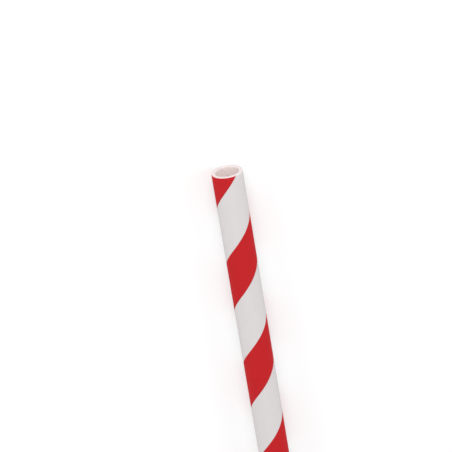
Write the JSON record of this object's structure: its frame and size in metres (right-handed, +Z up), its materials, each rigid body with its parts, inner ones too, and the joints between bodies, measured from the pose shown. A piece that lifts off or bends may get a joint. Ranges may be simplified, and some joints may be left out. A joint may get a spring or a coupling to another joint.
{
  "type": "paper drinking straw",
  "caption": "Straight drinking straw, a spirally wound paper tube open at both square-cut ends, white with one broad red spiral stripe.",
  "frame": {"origin": "on the straw's axis, at the middle of its length, at the mount outside that holds it", "axes": "+X along the straw towards its mouth end, +Z up where it is laid down"},
  "size_m": [0.197, 0.006, 0.006],
  "materials": {
    "printed_paper": "matt white paper, printed outside with a red band along the winding"
  },
  "bodies": {
    "root": {"straw": "printed_paper"}
  },
  "joints": []
}
